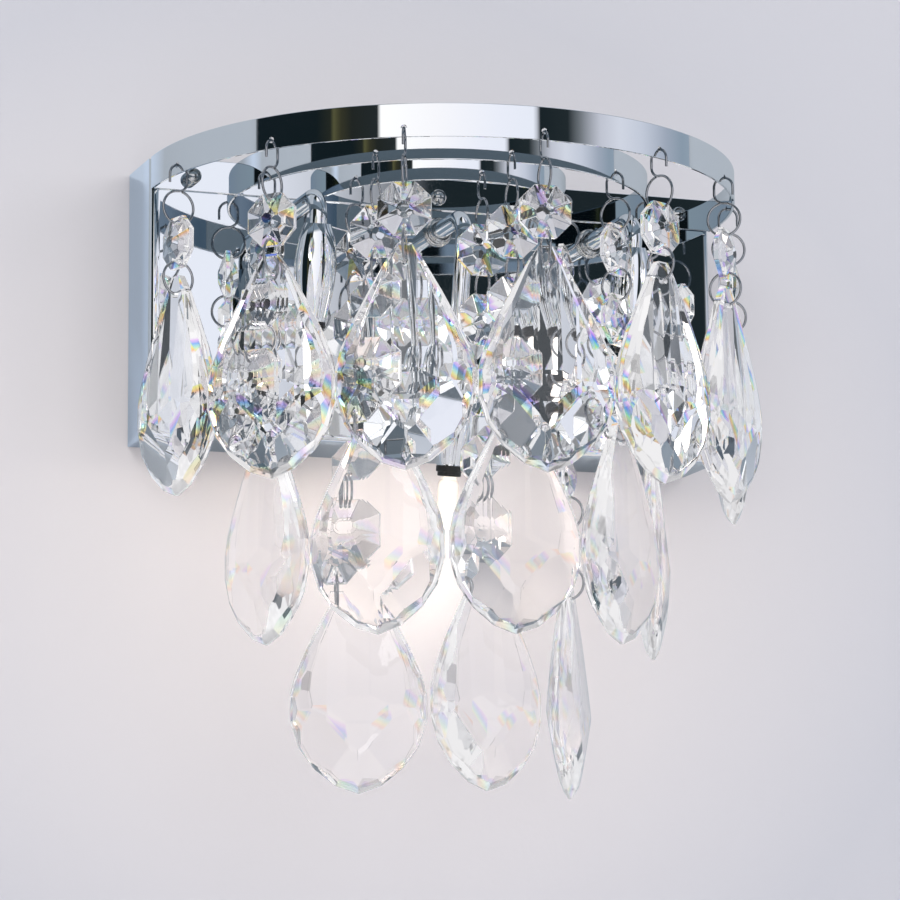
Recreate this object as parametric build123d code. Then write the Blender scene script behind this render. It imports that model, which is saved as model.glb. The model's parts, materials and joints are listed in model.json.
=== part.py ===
from build123d import *
import math
import os

# Crystal wall sconce. Millimetres, +Z up, the front faces -Y and the wall is the plane Y = 0.
# The origin is the centre of the back pan's open wall face.

# ---- driving sizes -------------------------------------------------------------------------------
pan_width = 240.0
pan_height = 111.0
pan_depth = 32.0
pan_wall = 1.2
pan_bend = 2.2              # outside radius of the folds round the front face

band_height = 13.0
band_wall = 1.2
middle_radius = 85.0        # outside radius of the middle band
inner_radius = 52.0         # outside radius of the inner band
hook_hole_drop = 9.5        # from a band's top edge to its row of hook holes
hook_hole = 2.4

wire = 1.1                  # thickness of the hooks and links
wire_share = 0.9            # side of a wire's square section, as a share of its thickness
wire_sag = 0.25             # from the centre of a hole down to the centre of the wire lying in it
hook_bend = 3.8             # centreline radius of a hook's small bends
hook_stub = 3.4             # straight end of a hook, outside the band
hook_drop = 23.6            # from the hook hole to the bottom of the hook's ring
ring_radius = 6.6           # centreline radius of the links and of the rings of the hooks

bead_size = 20.4            # octagon bead, across the flats
bead_thickness = 8.4
bead_table = 9.6            # flat octagon in the middle of each face, across the flats
bead_girdle = 2.0
bead_hole_inset = 3.0       # from the rim to the centre of a bead's hole
crystal_hole = 2.6          # across the flats, through beads and drops

drop_girdle = 1.8
drop_knee = 8.8             # thickness where the steep rim facets meet the shallow ones
drop_thickness = 13.0
drop_knee_share = 0.90      # outline at the knee, as a share of the rim's
drop_table_share = 0.76     # outline of the flat table, as a share of the rim's
drop_hole_inset = 7.5       # from the drop's top to the centre of its hole
drop_neck_thickness = 4.4   # round the hole
drop_neck_length = 12.0     # from the top to where the neck starts to swell
drop_swell_length = 18.0    # over which it swells to the full thickness
# Right half of a drop's rim from the top: (half width, depth below the top) of each corner.
drop_rim = [
    (2.6, 0.0),
    (6.2, 5.0),
    (14.0, 18.5),
    (24.4, 41.0),
    (26.4, 48.0),
    (26.4, 58.0),
    (23.0, 68.5),
    (16.4, 77.0),
    (8.6, 83.0),
]
drop_length = 86.0
drop_belly = 53.0           # depth of the widest place, towards which the facets' outlines shrink

outer_spacing = 180.0 / 7   # degrees between the strings of a band
middle_spacing = 36.0
inner_spacing = 58.0
string_beads = {"outer": 1, "middle": 3, "inner": 5}
# How far each string has turned about its own line by its drop, in degrees, from left to right.
outer_turns = [4, 10, 0, -7, 0, -12, 0]
middle_turns = [0, 0, 0, 0, 0]
inner_turns = [36, 18, 0]

arm_spread = 66.0           # from the centre arm to a side arm
arm_level = 22.0            # from the top of the pan down to the arms
side_arm_reach = 49.0       # from the pan's face to the bend of a side arm
centre_arm_reach = 33.0
arm_diameter = 7.0
arm_bend = 8.0
arm_lean = 12.0             # degrees that the lamps lean back towards the wall
arm_inside = 9.0            # end of an arm behind the pan's face
side_arm_neck = 2.0         # straight tube between the bend and the cup
centre_arm_neck = 52.0

cup_length = 38.0
cup_bore = 5.0
# Outside of a cup: (radius, distance from its top).
cup_profile = [(5.2, 0.0), (6.7, 4.5), (7.8, 10.5), (8.2, 17.0), (7.7, 25.0), (5.4, 38.0)]
holder_diameter = 8.4
holder_length = 16.0        # inside the cup
holder_lip_diameter = 10.8
holder_lip_length = 4.2
holder_room = 2.0           # above the holder, for the leads
lamp_diameter = 8.6
lamp_length = 21.0          # below the holder's lip
lamp_gap = 1.2              # from the lip to the round bulb
lamp_pinch = (5.6, 4.0)     # section of the flat foot of a lamp
lamp_seat = 5.0             # depth of the foot in its holder
lamp_dome_steps = 3

collar_diameter = 12.0
collar_length = 4.0
collar_step_diameter = 9.6
collar_step_length = 1.6
lock_nut_flats = 11.0
lock_nut_length = 3.0

bracket_end = 9.0           # from a side of the pan to the end of the bracket
bracket_height = 22.0
bracket_wall = 1.5
bracket_corner = 4.0
bracket_gap = 1.0           # from the bracket's top edge to the inside of the pan
wall_slot_spacing = 120.0
wall_slot_length = 12.0
wall_slot_width = 4.6
stud_inset = 16.0           # from a side of the pan to its fixing stud
fixing_drop = 7.8           # from the pan's top to the studs and the band's screw
stud_diameter = 4.0
stud_reach = 3.0            # thread in a cap nut
stud_clearance = 0.3        # radial, in the pan and the outer band
cap_nut_diameter = 6.2
cap_nut_length = 5.0
cap_nut_bore = 3.6
cap_nut_round = 1.0
screw_head_diameter = 6.6
screw_head_height = 2.2
screw_diameter = 4.0
screw_length = 7.0
screw_nut_flats = 7.0
screw_nut_length = 3.0
seat_gap = 0.05             # radial, between a part and the one that it plugs into

block_size = (32.0, 14.0, 16.0)
block_place = (-52.0, 21.5)      # across from the pan's centre and up from its bottom
block_ways = 3
block_well_flats = 4.0
block_well_depth = 6.0
block_groove = (1.6, 4.0)        # width and depth between two ways
driver_size = (62.0, 20.0, 30.0)
driver_place = (30.0, 27.5)
driver_corner = 3.0

# ---- derived places ------------------------------------------------------------------------------
top = pan_height / 2
face = -pan_depth                      # front of the pan
strip_face = face - band_wall          # front of the outer band's back strip
outer_radius = pan_width / 2           # the outer band is as wide as the pan
band_middle = top - band_height / 2
hook_level = top - hook_hole_drop
arm_height = top - arm_level
fixing_height = top - fixing_drop
bead_hole = bead_size / 2 - bead_hole_inset
stud_hole = stud_diameter + 2 * stud_clearance
stud_spread = pan_width / 2 - stud_inset
bracket_length = pan_width - 2 * bracket_end
lip = cup_length + holder_lip_length   # the holder's lower end, along a lamp's line from the arm

# For each tier: outside radius of its band, degrees apart, beads on a string, turn of each string.
tiers = {
    "outer": (outer_radius, outer_spacing, string_beads["outer"], outer_turns),
    "middle": (middle_radius, middle_spacing, string_beads["middle"], middle_turns),
    "inner": (inner_radius, inner_spacing, string_beads["inner"], inner_turns),
}
# For each arm: distance across, reach from the pan's face, straight tube below the bend.
arms = {
    "left": (-arm_spread, side_arm_reach, side_arm_neck),
    "centre": (0.0, centre_arm_reach, centre_arm_neck),
    "right": (arm_spread, side_arm_reach, side_arm_neck),
}


# ---- helpers -------------------------------------------------------------------------------------
def save(name, solids):
    """Write one sub-part as a group of its separate solids."""
    export_step(Compound(children=list(solids)), f"parts/{name}.step")


def rod(diameter, start, end, x, z):
    """A round bar along Y between two depths."""
    place = Location((x, (start + end) / 2, z), (90, 0, 0))
    return place * Cylinder(diameter / 2, abs(end - start))


def edges_at(solid, y):
    """A solid's edges in a plane that faces the front."""
    return solid.edges().filter_by(lambda edge: abs(edge.center().Y - y) < 0.01)


def pierce(sheet, diameter, places):
    """Drill round holes through a sheet on the pan's face."""
    for x, z in places:
        sheet -= rod(diameter, face - 2 * band_wall, face + 2 * pan_wall, x, z)
    return sheet


def polyhedron(polygons):
    """A solid with flat faces."""
    return Solid(Shell([Face(Wire.make_polygon(corners, close=True)) for corners in polygons]))


def drill(flats, sides, reach):
    """A small hole's tool, with few sides, along Y through the origin."""
    section = RegularPolygon(flats / 2, sides, major_radius=False)
    return Rot(90, 0, 0) * extrude(section, reach, both=True)


def turned(*lines):
    """A solid turned about Z from the outline of its half section, given as (radius, along)."""
    edges = [edge for line in lines for edge in line.edges()]
    return revolve(Plane.XZ * make_face(edges), axis=Axis.Z)


# ---- back pan ------------------------------------------------------------------------------------
def back_pan():
    """Folded sheet pan, open to the wall, with holes for the studs, the band's screw and the arms."""
    outside = Pos(0, face / 2, 0) * Box(pan_width, pan_depth, pan_height)
    outside = fillet(edges_at(outside, face), pan_bend)
    floor = face + pan_wall
    inside = Pos(0, floor / 2, 0) * Box(pan_width - 2 * pan_wall, -floor, pan_height - 2 * pan_wall)
    pan = outside - chamfer(edges_at(inside, floor), pan_bend - pan_wall)
    pan = pierce(pan, stud_hole, [(-stud_spread, fixing_height), (stud_spread, fixing_height)])
    pan = pierce(pan, screw_diameter + 2 * seat_gap, [(0, fixing_height)])
    return pierce(pan, arm_diameter + 2 * seat_gap, [(x, arm_height) for x, _, _ in arms.values()])


# ---- bands ---------------------------------------------------------------------------------------
def half_ring(radius, back):
    """The part of a round strip that lies in front of the plane Y = back."""
    strip = Cylinder(radius, band_height) - Cylinder(radius - band_wall, band_height)
    strip = Pos(0, face, band_middle) * strip
    return strip & Pos(0, back - radius, band_middle) * Box(2 * radius, 2 * radius, band_height)


def string_angles(tier):
    """Directions of a tier's strings, in degrees from straight ahead, from left to right."""
    _, spacing, _, turns = tiers[tier]
    return [spacing * (step - (len(turns) - 1) / 2) for step in range(len(turns))]


def string_place(tier, angle):
    """Where a string hangs: the middle of a hook hole, with -Y pointing out of the band."""
    radius = tiers[tier][0] - band_wall / 2
    turn = math.radians(angle)
    place = Location((radius * math.sin(turn), face - radius * math.cos(turn), hook_level))
    return place * Rot(0, 0, angle)


def drill_hook_holes(band, tier):
    """Drill a band's row of hook holes."""
    for angle in string_angles(tier):
        band -= string_place(tier, angle) * drill(hook_hole, 6, 2 * band_wall)
    return band


def outer_band():
    """The band that is closed by a flat strip on the pan's face, which carries the other two."""
    strip = Pos(0, face - band_wall / 2, band_middle) * Box(pan_width, band_wall, band_height)
    band = half_ring(outer_radius, face) + strip
    band = pierce(band, stud_hole, [(-stud_spread, fixing_height), (stud_spread, fixing_height)])
    band = pierce(band, screw_diameter + 2 * seat_gap, [(0, fixing_height)])
    return drill_hook_holes(band, "outer")


# ---- crystals ------------------------------------------------------------------------------------
def cut_solid(layers):
    """A crystal with flat facets between layers of (outline, depth), from the front to the back."""
    rings = [[Vector(x, y, z) for x, z in outline] for outline, y in layers]
    polygons = [rings[0], rings[-1]]
    for near, far in zip(rings, rings[1:]):
        for step in range(len(near)):
            polygons.append([near[step - 1], near[step], far[step], far[step - 1]])
    return polyhedron(polygons)


def drill_crystal(crystal, height):
    """Drill a crystal's small hole from front to back."""
    return crystal - Pos(0, 0, height) * drill(crystal_hole, 4, bead_size)


def octagon(flats):
    """Corners of an octagon that stands on a flat."""
    radius = flats / 2 / math.cos(math.pi / 8)
    turns = [math.pi / 8 + math.pi / 4 * corner for corner in range(8)]
    return [(radius * math.cos(turn), radius * math.sin(turn)) for turn in turns]


def bead():
    """Octagon bead, centred on the origin, with a hole near its top and bottom flats."""
    rim = octagon(bead_size)
    table = octagon(bead_table)
    girdle = bead_girdle / 2
    front = bead_thickness / 2
    solid = cut_solid([(table, -front), (rim, -girdle), (rim, girdle), (table, front)])
    return drill_crystal(drill_crystal(solid, bead_hole), -bead_hole)


def drop_outline(share):
    """The drop's rim shrunk towards its belly, with the origin at the drop's hole."""
    rim = drop_rim + [(0.0, drop_length)] + [(-x, depth) for x, depth in reversed(drop_rim)]
    belly = drop_hole_inset - drop_belly
    return [(x * share, belly + (drop_belly - depth) * share) for x, depth in rim]


def drop():
    """Pear drop: two rows of rim facets round a flat table, and a thin neck with the link's hole."""
    rim = drop_outline(1.0)
    knee = drop_outline(drop_knee_share)
    table = drop_outline(drop_table_share)
    depths = (drop_thickness / 2, drop_knee / 2, drop_girdle / 2)
    layers = [(outline, -depth) for outline, depth in zip((table, knee, rim), depths)]
    layers += [(outline, -y) for outline, y in reversed(layers)]
    solid = cut_solid(layers)
    neck = drop_neck_thickness / 2
    wide = drop_thickness / 2 + 1.0
    head = drop_hole_inset + 1.0
    neck_end = drop_hole_inset - drop_neck_length
    swell_end = neck_end - drop_swell_length
    foot = drop_hole_inset - drop_length - 1.0
    side = [(neck, head), (neck, neck_end), (wide, swell_end), (wide, foot)]
    side += [(-y, z) for y, z in reversed(side)]
    profile = Face(Wire.make_polygon([Vector(0, y, z) for y, z in side], close=True))
    solid = solid & extrude(profile, pan_width, dir=(1, 0, 0), both=True)
    return drill_crystal(solid, 0)


# ---- wires ---------------------------------------------------------------------------------------
# A wire's points are (outward, up) in the plane that faces the wall, where outward is -Y.
def arc_points(centre, radius, start, turn, steps):
    """Corners of straight runs that touch an arc from outside, in degrees from outward."""
    half = turn / steps / 2
    reach = radius / math.cos(math.radians(half))
    angles = [math.radians(start + half * (2 * step + 1)) for step in range(steps)]
    return [(centre[0] + reach * math.cos(a), centre[1] + reach * math.sin(a)) for a in angles]


def hook():
    """Hook whose small bend hangs in the band and whose ring carries the first bead."""
    ring_centre = (0.0, ring_radius - hook_drop)
    side_bend = (0.0, ring_centre[1] + ring_radius + hook_bend)
    points = [(hook_bend, -hook_bend - hook_stub)]
    points += arc_points((0.0, -hook_bend), hook_bend, 0, 180, 4)
    points += arc_points(side_bend, hook_bend, 180, 90, 2)
    points += arc_points(ring_centre, ring_radius, 90, -320, 8)
    run = [Vector(0, -out, up) for out, up in points]
    start = Plane(run[0], x_dir=(1, 0, 0), z_dir=run[1] - run[0])
    section = start * Rectangle(wire * wire_share, wire * wire_share, rotation=45)
    return sweep(section, path=Wire.make_polygon(run, close=False), transition=Transition.RIGHT)


def link():
    """Closed round link, centred on the origin."""
    half = wire * wire_share / math.sqrt(2)
    steps = 8
    outlines = [arc_points((0.0, 0.0), ring_radius + side, 0, 360, steps) for side in (-half, 0, half)]
    inner, middle, outer = outlines
    outside = cut_solid([(middle, -half), (outer, 0.0), (middle, half)])
    inside = cut_solid([(middle, -half), (inner, 0.0), (middle, half)])
    return Rot(0, 0, 90) * (outside - inside)


# ---- strings -------------------------------------------------------------------------------------
def string(tier, number):
    """The wires, beads and drop of one string, hanging in their places."""
    place = string_place(tier, string_angles(tier)[number])
    beads_each = tiers[tier][2]
    turn = tiers[tier][3][number] / (2 * beads_each + 1)
    wires = [place * hook()]
    beads = []
    level = -hook_drop
    for step in range(beads_each):
        level -= wire_sag
        line = place * Rot(0, 0, turn * (2 * step + 1))
        beads.append(line * Pos(0, 0, level - bead_hole) * bead())
        level -= 2 * bead_hole + wire_sag + ring_radius
        line = place * Rot(0, 0, turn * (2 * step + 2))
        wires.append(line * Pos(0, 0, level) * link())
        level -= ring_radius
    line = place * Rot(0, 0, turn * (2 * beads_each + 1))
    return wires, beads, line * Pos(0, 0, level - wire_sag) * drop()


# ---- lamp arms -----------------------------------------------------------------------------------
def arm_path(x, reach, neck):
    """Centreline of an arm, from inside the pan round the bend and down to the cup."""
    start = Vector(x, face + arm_inside, arm_height)
    corner = Vector(x, face - reach, arm_height)
    lean = math.radians(arm_lean)
    down = Vector(0, math.sin(lean), -math.cos(lean))
    set_back = arm_bend * math.tan(math.radians(90 + arm_lean) / 2)
    return FilletPolyline(start, corner, corner + down * (set_back + neck), radius=arm_bend)


def lamp_arm(arm):
    """Round arm, bent down to its lamp."""
    path = arm_path(*arms[arm])
    start = Plane(path @ 0, x_dir=(1, 0, 0), z_dir=path % 0)
    return sweep(start * Circle(arm_diameter / 2), path=path)


def on_arms(piece):
    """Copies of a piece that is drawn along Z, one below the end of each arm."""
    copies = []
    for arm in arms.values():
        path = arm_path(*arm)
        copies.append(Plane(path @ 1, x_dir=(1, 0, 0), z_dir=path % 1).location * piece)
    return copies


def lamp_cup():
    """Tulip shaped cup that swells to a belly and closes round the lampholder."""
    bore = holder_diameter / 2 + seat_gap
    bore_top = cup_length - holder_length - holder_room
    lead = cup_bore / 2
    inside = [(bore, cup_length), (bore, bore_top), (lead, bore_top), (lead, 0.0)]
    return turned(Polyline(*cup_profile, *inside, close=True))


def lampholder():
    """Lampholder: a body inside the cup and a wider lip below it, with a slot for the lamp's foot."""
    body = holder_diameter / 2
    rim = holder_lip_diameter / 2
    foot = cup_length - holder_length
    points = [(0, foot), (body, foot), (body, cup_length), (rim, cup_length), (rim, lip), (0, lip)]
    solid = turned(Polyline(*points, close=True))
    width, thickness = (side + 2 * seat_gap for side in lamp_pinch)
    return solid - Pos(0, 0, lip - lamp_seat / 2) * Box(width, thickness, lamp_seat)


def lamp():
    """Capsule lamp: a round bulb with a domed end on a flat foot."""
    radius = lamp_diameter / 2
    neck = lip + lamp_gap
    dome = lip + lamp_length - radius
    shoulder = neck + radius / 2
    end = arc_points((0.0, dome), radius, 0, 90, lamp_dome_steps)
    bulb = turned(Polyline((0, neck), (radius * 0.7, neck), (radius, shoulder), *end, close=True))
    foot = lip - lamp_seat + seat_gap
    width, thickness = lamp_pinch
    return bulb + Pos(0, 0, (foot + shoulder) / 2) * Box(width, thickness, shoulder - foot)


# ---- fixings -------------------------------------------------------------------------------------
def hexagon_nut(flats, length, bore, x, z):
    """Hexagon nut on the inside of the pan's face."""
    seat = face + pan_wall
    prism = extrude(RegularPolygon(flats / 2, 6, major_radius=False), length)
    nut = Location((x, seat, z), (-90, 0, 0)) * prism
    return nut - rod(bore + 2 * seat_gap, seat - 1.0, seat + length + 1.0, x, z)


def arm_fixings():
    """For each arm a turned collar on the pan's face and a lock nut inside."""
    pieces = []
    front = face - collar_length
    step = front + collar_step_length
    for x, _, _ in arms.values():
        collar = rod(collar_diameter, face, step, x, arm_height)
        collar += rod(collar_step_diameter, step, front, x, arm_height)
        bore = rod(arm_diameter + 2 * seat_gap, face + 1.0, front - 1.0, x, arm_height)
        pieces.append(collar - bore)
        pieces.append(hexagon_nut(lock_nut_flats, lock_nut_length, arm_diameter, x, arm_height))
    return pieces


def wall_bracket():
    """Flat steel strip on the wall, with slots for two wall screws and two fixed studs."""
    height = top - pan_wall - bracket_gap - bracket_height / 2
    strip = Pos(0, -bracket_wall / 2, height) * Box(bracket_length, bracket_wall, bracket_height)
    strip = fillet(strip.edges().filter_by(Axis.Y), bracket_corner)
    slot = extrude(SlotOverall(wall_slot_length, wall_slot_width), 2 * bracket_wall, both=True)
    for x in (-wall_slot_spacing / 2, wall_slot_spacing / 2):
        strip -= Location((x, 0, height), (90, 0, 0)) * slot
    for x in (-stud_spread, stud_spread):
        strip += rod(stud_diameter, -bracket_wall / 2, strip_face - stud_reach, x, fixing_height)
    return strip


def cap_nuts():
    """Round cap nuts that clamp the outer band and the pan to the bracket's studs."""
    nuts = []
    front = strip_face - cap_nut_length
    for x in (-stud_spread, stud_spread):
        nut = rod(cap_nut_diameter, strip_face, front, x, fixing_height)
        nut = chamfer(edges_at(nut, front), cap_nut_round)
        bore = stud_diameter + 2 * seat_gap
        nuts.append(nut - rod(bore, strip_face + 1.0, strip_face - cap_nut_bore, x, fixing_height))
    return nuts


def band_screw():
    """Domed screw through the middle of the outer band's strip, and its nut inside the pan."""
    radius = screw_head_diameter / 2
    shank = screw_diameter / 2
    head = screw_head_height
    crown = [(0, head), (radius * 0.5, head * 0.85), (radius * 0.85, head * 0.5), (radius, 0)]
    screw = turned(Polyline(*crown, (shank, 0), (shank, -screw_length), (0, -screw_length), close=True))
    screw = Location((0, strip_face, fixing_height), (90, 0, 0)) * screw
    return [screw, hexagon_nut(screw_nut_flats, screw_nut_length, screw_diameter, 0, fixing_height)]


# ---- inside the pan ------------------------------------------------------------------------------
def in_pan(size, place):
    """A box seated on the inside of the pan's face."""
    width, depth, height = size
    return Pos(place[0], face + pan_wall + depth / 2, place[1] - pan_height / 2) * Box(width, depth, height)


def terminal_block():
    """Terminal block with its screw wells and the grooves between its ways."""
    block = in_pan(block_size, block_place)
    width, depth, height = block_size
    back = face + pan_wall + depth
    across = block_place[0]
    up = block_place[1] - pan_height / 2
    pitch = width / block_ways
    for way in range(block_ways):
        x = across + pitch * (way - (block_ways - 1) / 2)
        for z in (up - height / 4, up + height / 4):
            block -= Pos(x, back, z) * drill(block_well_flats, 8, block_well_depth)
    groove_width, groove_depth = block_groove
    for way in range(1, block_ways):
        x = across + pitch * (way - block_ways / 2)
        block -= Pos(x, back, up) * Box(groove_width, 2 * groove_depth, height)
    return block


def lamp_driver():
    """Closed housing of the lamps' transformer."""
    box = in_pan(driver_size, driver_place)
    return fillet(box.edges().filter_by(Axis.Y), driver_corner)


# ---- write the parts -----------------------------------------------------------------------------
os.makedirs("parts", exist_ok=True)
save("back_pan", [back_pan()])
save("outer_band", [outer_band()])
save("middle_band", [drill_hook_holes(half_ring(middle_radius, strip_face), "middle")])
save("inner_band", [drill_hook_holes(half_ring(inner_radius, strip_face), "inner")])
save("side_lamp_arms", [lamp_arm("left"), lamp_arm("right")])
save("centre_lamp_arm", [lamp_arm("centre")])
save("lamp_cups", on_arms(lamp_cup()))
save("lampholders", on_arms(lampholder()))
save("lamps", on_arms(lamp()))
save("arm_fixings", arm_fixings())
save("wall_bracket", [wall_bracket()])
save("cap_nuts", cap_nuts())
save("band_screw", band_screw())
save("terminal_block", [terminal_block()])
save("lamp_driver", [lamp_driver()])
for tier in tiers:
    for number in range(len(string_angles(tier))):
        wires, beads, pear = string(tier, number)
        save(f"{tier}_{number + 1}_wires", wires)
        save(f"{tier}_{number + 1}_beads", beads)
        save(f"{tier}_{number + 1}_drop", [pear])
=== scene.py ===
import bpy
import bmesh
import json
import math
import random
from mathutils import Matrix, Vector


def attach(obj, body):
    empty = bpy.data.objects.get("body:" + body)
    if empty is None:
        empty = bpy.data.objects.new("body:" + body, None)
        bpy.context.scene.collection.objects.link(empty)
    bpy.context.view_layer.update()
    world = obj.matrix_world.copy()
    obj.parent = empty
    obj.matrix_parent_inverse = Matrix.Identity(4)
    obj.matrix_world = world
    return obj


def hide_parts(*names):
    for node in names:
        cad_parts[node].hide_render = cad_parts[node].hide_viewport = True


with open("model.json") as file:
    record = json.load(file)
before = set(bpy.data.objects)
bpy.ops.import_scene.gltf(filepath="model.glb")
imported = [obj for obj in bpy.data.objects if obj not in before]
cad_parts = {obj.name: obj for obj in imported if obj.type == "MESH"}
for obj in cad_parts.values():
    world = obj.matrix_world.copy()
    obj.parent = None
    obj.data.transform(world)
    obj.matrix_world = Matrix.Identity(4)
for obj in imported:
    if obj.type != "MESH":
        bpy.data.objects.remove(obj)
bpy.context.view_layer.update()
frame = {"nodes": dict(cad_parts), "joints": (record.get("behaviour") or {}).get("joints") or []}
scene = bpy.context.scene
mm = 0.001
print("frame loaded:", len(frame["nodes"]), "nodes")


# small helpers, used by every piece
def addObject(name, data):
    obj = bpy.data.objects.new(name, data)
    scene.collection.objects.link(obj)
    return obj


def meshFrom(name, points, faces, edges=()):
    mesh = bpy.data.meshes.new(name)
    mesh.from_pydata([tuple(p) for p in points], edges, faces)
    mesh.update()
    return mesh


def boxMesh(name, low, high):
    points = [(x, y, z) for x in (low[0], high[0]) for y in (low[1], high[1]) for z in (low[2], high[2])]
    faces = [(0, 1, 3, 2), (4, 6, 7, 5), (0, 4, 5, 1), (2, 3, 7, 6), (0, 2, 6, 4), (1, 5, 7, 3)]
    return meshFrom(name, points, faces)


def takeSolid(name, solid):
    mesh = bpy.data.meshes.new(name)
    solid.to_mesh(mesh)
    solid.free()
    return mesh


def takeMesh(obj):
    # the mesh stays, its object goes
    mesh = obj.data
    bpy.data.objects.remove(obj)
    return mesh


def takeResult(obj):
    # the evaluated shape becomes a plain mesh, and the modifiers go
    graph = bpy.context.evaluated_depsgraph_get()
    mesh = bpy.data.meshes.new_from_object(obj.evaluated_get(graph), depsgraph=graph)
    obj.modifiers.clear()
    old = obj.data
    obj.data = mesh
    if old.users == 0:
        bpy.data.meshes.remove(old)
    return obj


def shadeByAngle(mesh, degrees):
    mesh.shade_smooth()
    mesh.set_sharp_from_angle(angle=math.radians(degrees))


def joinMeshes(name, parts):
    # parts are (mesh, matrix); every mesh keeps its materials' order
    joined = bmesh.new()
    materials = []
    for mesh, matrix in parts:
        copy = mesh.copy()
        copy.transform(matrix)
        slots = []
        for material in mesh.materials:
            if material not in materials:
                materials.append(material)
            slots.append(materials.index(material))
        for face in copy.polygons:
            face.material_index = slots[face.material_index] if slots else 0
        joined.from_mesh(copy)
        bpy.data.meshes.remove(copy)
    mesh = takeSolid(name, joined)
    for material in materials:
        mesh.materials.append(material)
    return mesh


def cutWith(obj, shapes):
    # bores and notches: exact booleans with helper shapes that are then thrown away
    cutters = [addObject("cutter", shape) for shape in shapes]
    for cutter in cutters:
        mod = obj.modifiers.new("cut", "BOOLEAN")
        mod.operation = "DIFFERENCE"
        mod.solver = "EXACT"
        mod.object = cutter
    takeResult(obj)
    for cutter in cutters:
        bpy.data.meshes.remove(takeMesh(cutter))
    return obj


def roundEdges(obj, width, segments=2, angle=30, smooth=True):
    mod = obj.modifiers.new("edges", "BEVEL")
    mod.width = width
    mod.segments = segments
    mod.limit_method = "ANGLE"
    mod.angle_limit = math.radians(angle)
    mod.harden_normals = smooth
    if smooth:
        obj.data.shade_smooth()
    return takeResult(obj)


def barMesh(name, start, end, radius, sides):
    axis = (end - start).normalized()
    side = axis.orthogonal().normalized()
    other = axis.cross(side)
    points = []
    for centre in (start, end):
        for step in range(sides):
            turn = 2 * math.pi * step / sides
            points.append(centre + radius * (math.cos(turn) * side + math.sin(turn) * other))
    faces = [tuple(reversed(range(sides))), tuple(range(sides, 2 * sides))]
    faces += [(i, (i + 1) % sides, sides + (i + 1) % sides, sides + i) for i in range(sides)]
    return meshFrom(name, points, faces)


def latheMesh(name, outline, finish, sides, degrees=35):
    # outline in millimetres: (radius, along) pairs of a closed section, turned about Z
    points, rings, faces = [], [], []
    for radius, along in outline:
        if radius * mm < 1e-7:
            rings.append([len(points)] * sides)
            points.append((0, 0, along * mm))
        else:
            rings.append(list(range(len(points), len(points) + sides)))
            for step in range(sides):
                turn = 2 * math.pi * step / sides
                points.append((radius * mm * math.cos(turn), radius * mm * math.sin(turn), along * mm))
    for ring, near in enumerate(rings):
        far = rings[(ring + 1) % len(rings)]
        for step in range(sides):
            after = (step + 1) % sides
            corners = list(dict.fromkeys([near[step], near[after], far[after], far[step]]))
            if len(corners) > 2:
                faces.append(corners)
    solid = bmesh.new()
    solid.from_mesh(meshFrom(name, points, faces))
    bmesh.ops.recalc_face_normals(solid, faces=solid.faces)
    mesh = takeSolid(name, solid)
    mesh.materials.append(finishes[finish])
    shadeByAngle(mesh, degrees)
    return mesh


def smoothLine(points, steps):
    # Catmull-Rom line through points
    ends = [points[0]] + list(points) + [points[-1]]
    line = []
    for i in range(1, len(ends) - 2):
        a, b, c, d = (Vector(p) for p in ends[i - 1:i + 3])
        for step in range(steps):
            t = step / steps
            line.append(0.5 * (2 * b + (c - a) * t + (2 * a - 5 * b + 4 * c - d) * t * t
                               + (3 * b - a - 3 * c + d) * t ** 3))
    line.append(Vector(points[-1]))
    return line


def finishPiece(name, mesh, node, body="wall_frame", finish=None):
    if finish:
        mesh.materials.clear()
        mesh.materials.append(finishes[finish])
    piece = addObject(name, mesh)
    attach(piece, body)
    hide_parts(node)


# camera: the place and lens that the photograph was taken with
cameraPlace = {
    "position": (-0.5375, -1.5256, -0.3385),
    "azimuth": 20.141,
    "elevation": -10.312,
    "roll": -0.456,
    "lens": 161.156,
    "shift": (-0.01459, -0.01688),
}


def makeCamera(sizes):
    turn, rise, roll = (math.radians(sizes[key]) for key in ("azimuth", "elevation", "roll"))
    forward = Vector((math.sin(turn) * math.cos(rise), math.cos(turn) * math.cos(rise), -math.sin(rise)))
    right = Vector((math.cos(turn), -math.sin(turn), 0))
    up = right.cross(forward)
    right, up = math.cos(roll) * right + math.sin(roll) * up, math.cos(roll) * up - math.sin(roll) * right
    camera = addObject("photoCamera", bpy.data.cameras.new("photoCamera"))
    matrix = Matrix((right, up, -forward)).transposed().to_4x4()
    matrix.translation = sizes["position"]
    camera.matrix_world = matrix
    camera.data.sensor_width = 36
    camera.data.lens = sizes["lens"]
    camera.data.shift_x, camera.data.shift_y = sizes["shift"]
    camera.data.clip_start = 0.01
    scene.camera = camera


makeCamera(cameraPlace)
print("camera set")


# nodes: an input gets a value, or a link from another node's socket
def setInputs(tree, node, inputs):
    for key, value in inputs.items():
        if isinstance(value, bpy.types.NodeSocket):
            tree.links.new(value, node.inputs[key])
        else:
            node.inputs[key].default_value = value


def addNode(tree, kind, inputs=None, **settings):
    node = tree.nodes.new(kind)
    for key, value in settings.items():
        setattr(node, key, value)
    setInputs(tree, node, inputs or {})
    return node


def newGroup(name, kind, inputs, outputs):
    # sockets: name -> (kind,) or (kind, value); gives the tree and what flows into it
    tree = bpy.data.node_groups.new(name, kind)
    for way, sockets in (("INPUT", inputs), ("OUTPUT", outputs)):
        for label, (socketKind, *value) in sockets.items():
            socket = tree.interface.new_socket(name=label, in_out=way, socket_type="NodeSocket" + socketKind)
            if value:
                socket.default_value = value[0]
    return tree, addNode(tree, "NodeGroupInput").outputs


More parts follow.
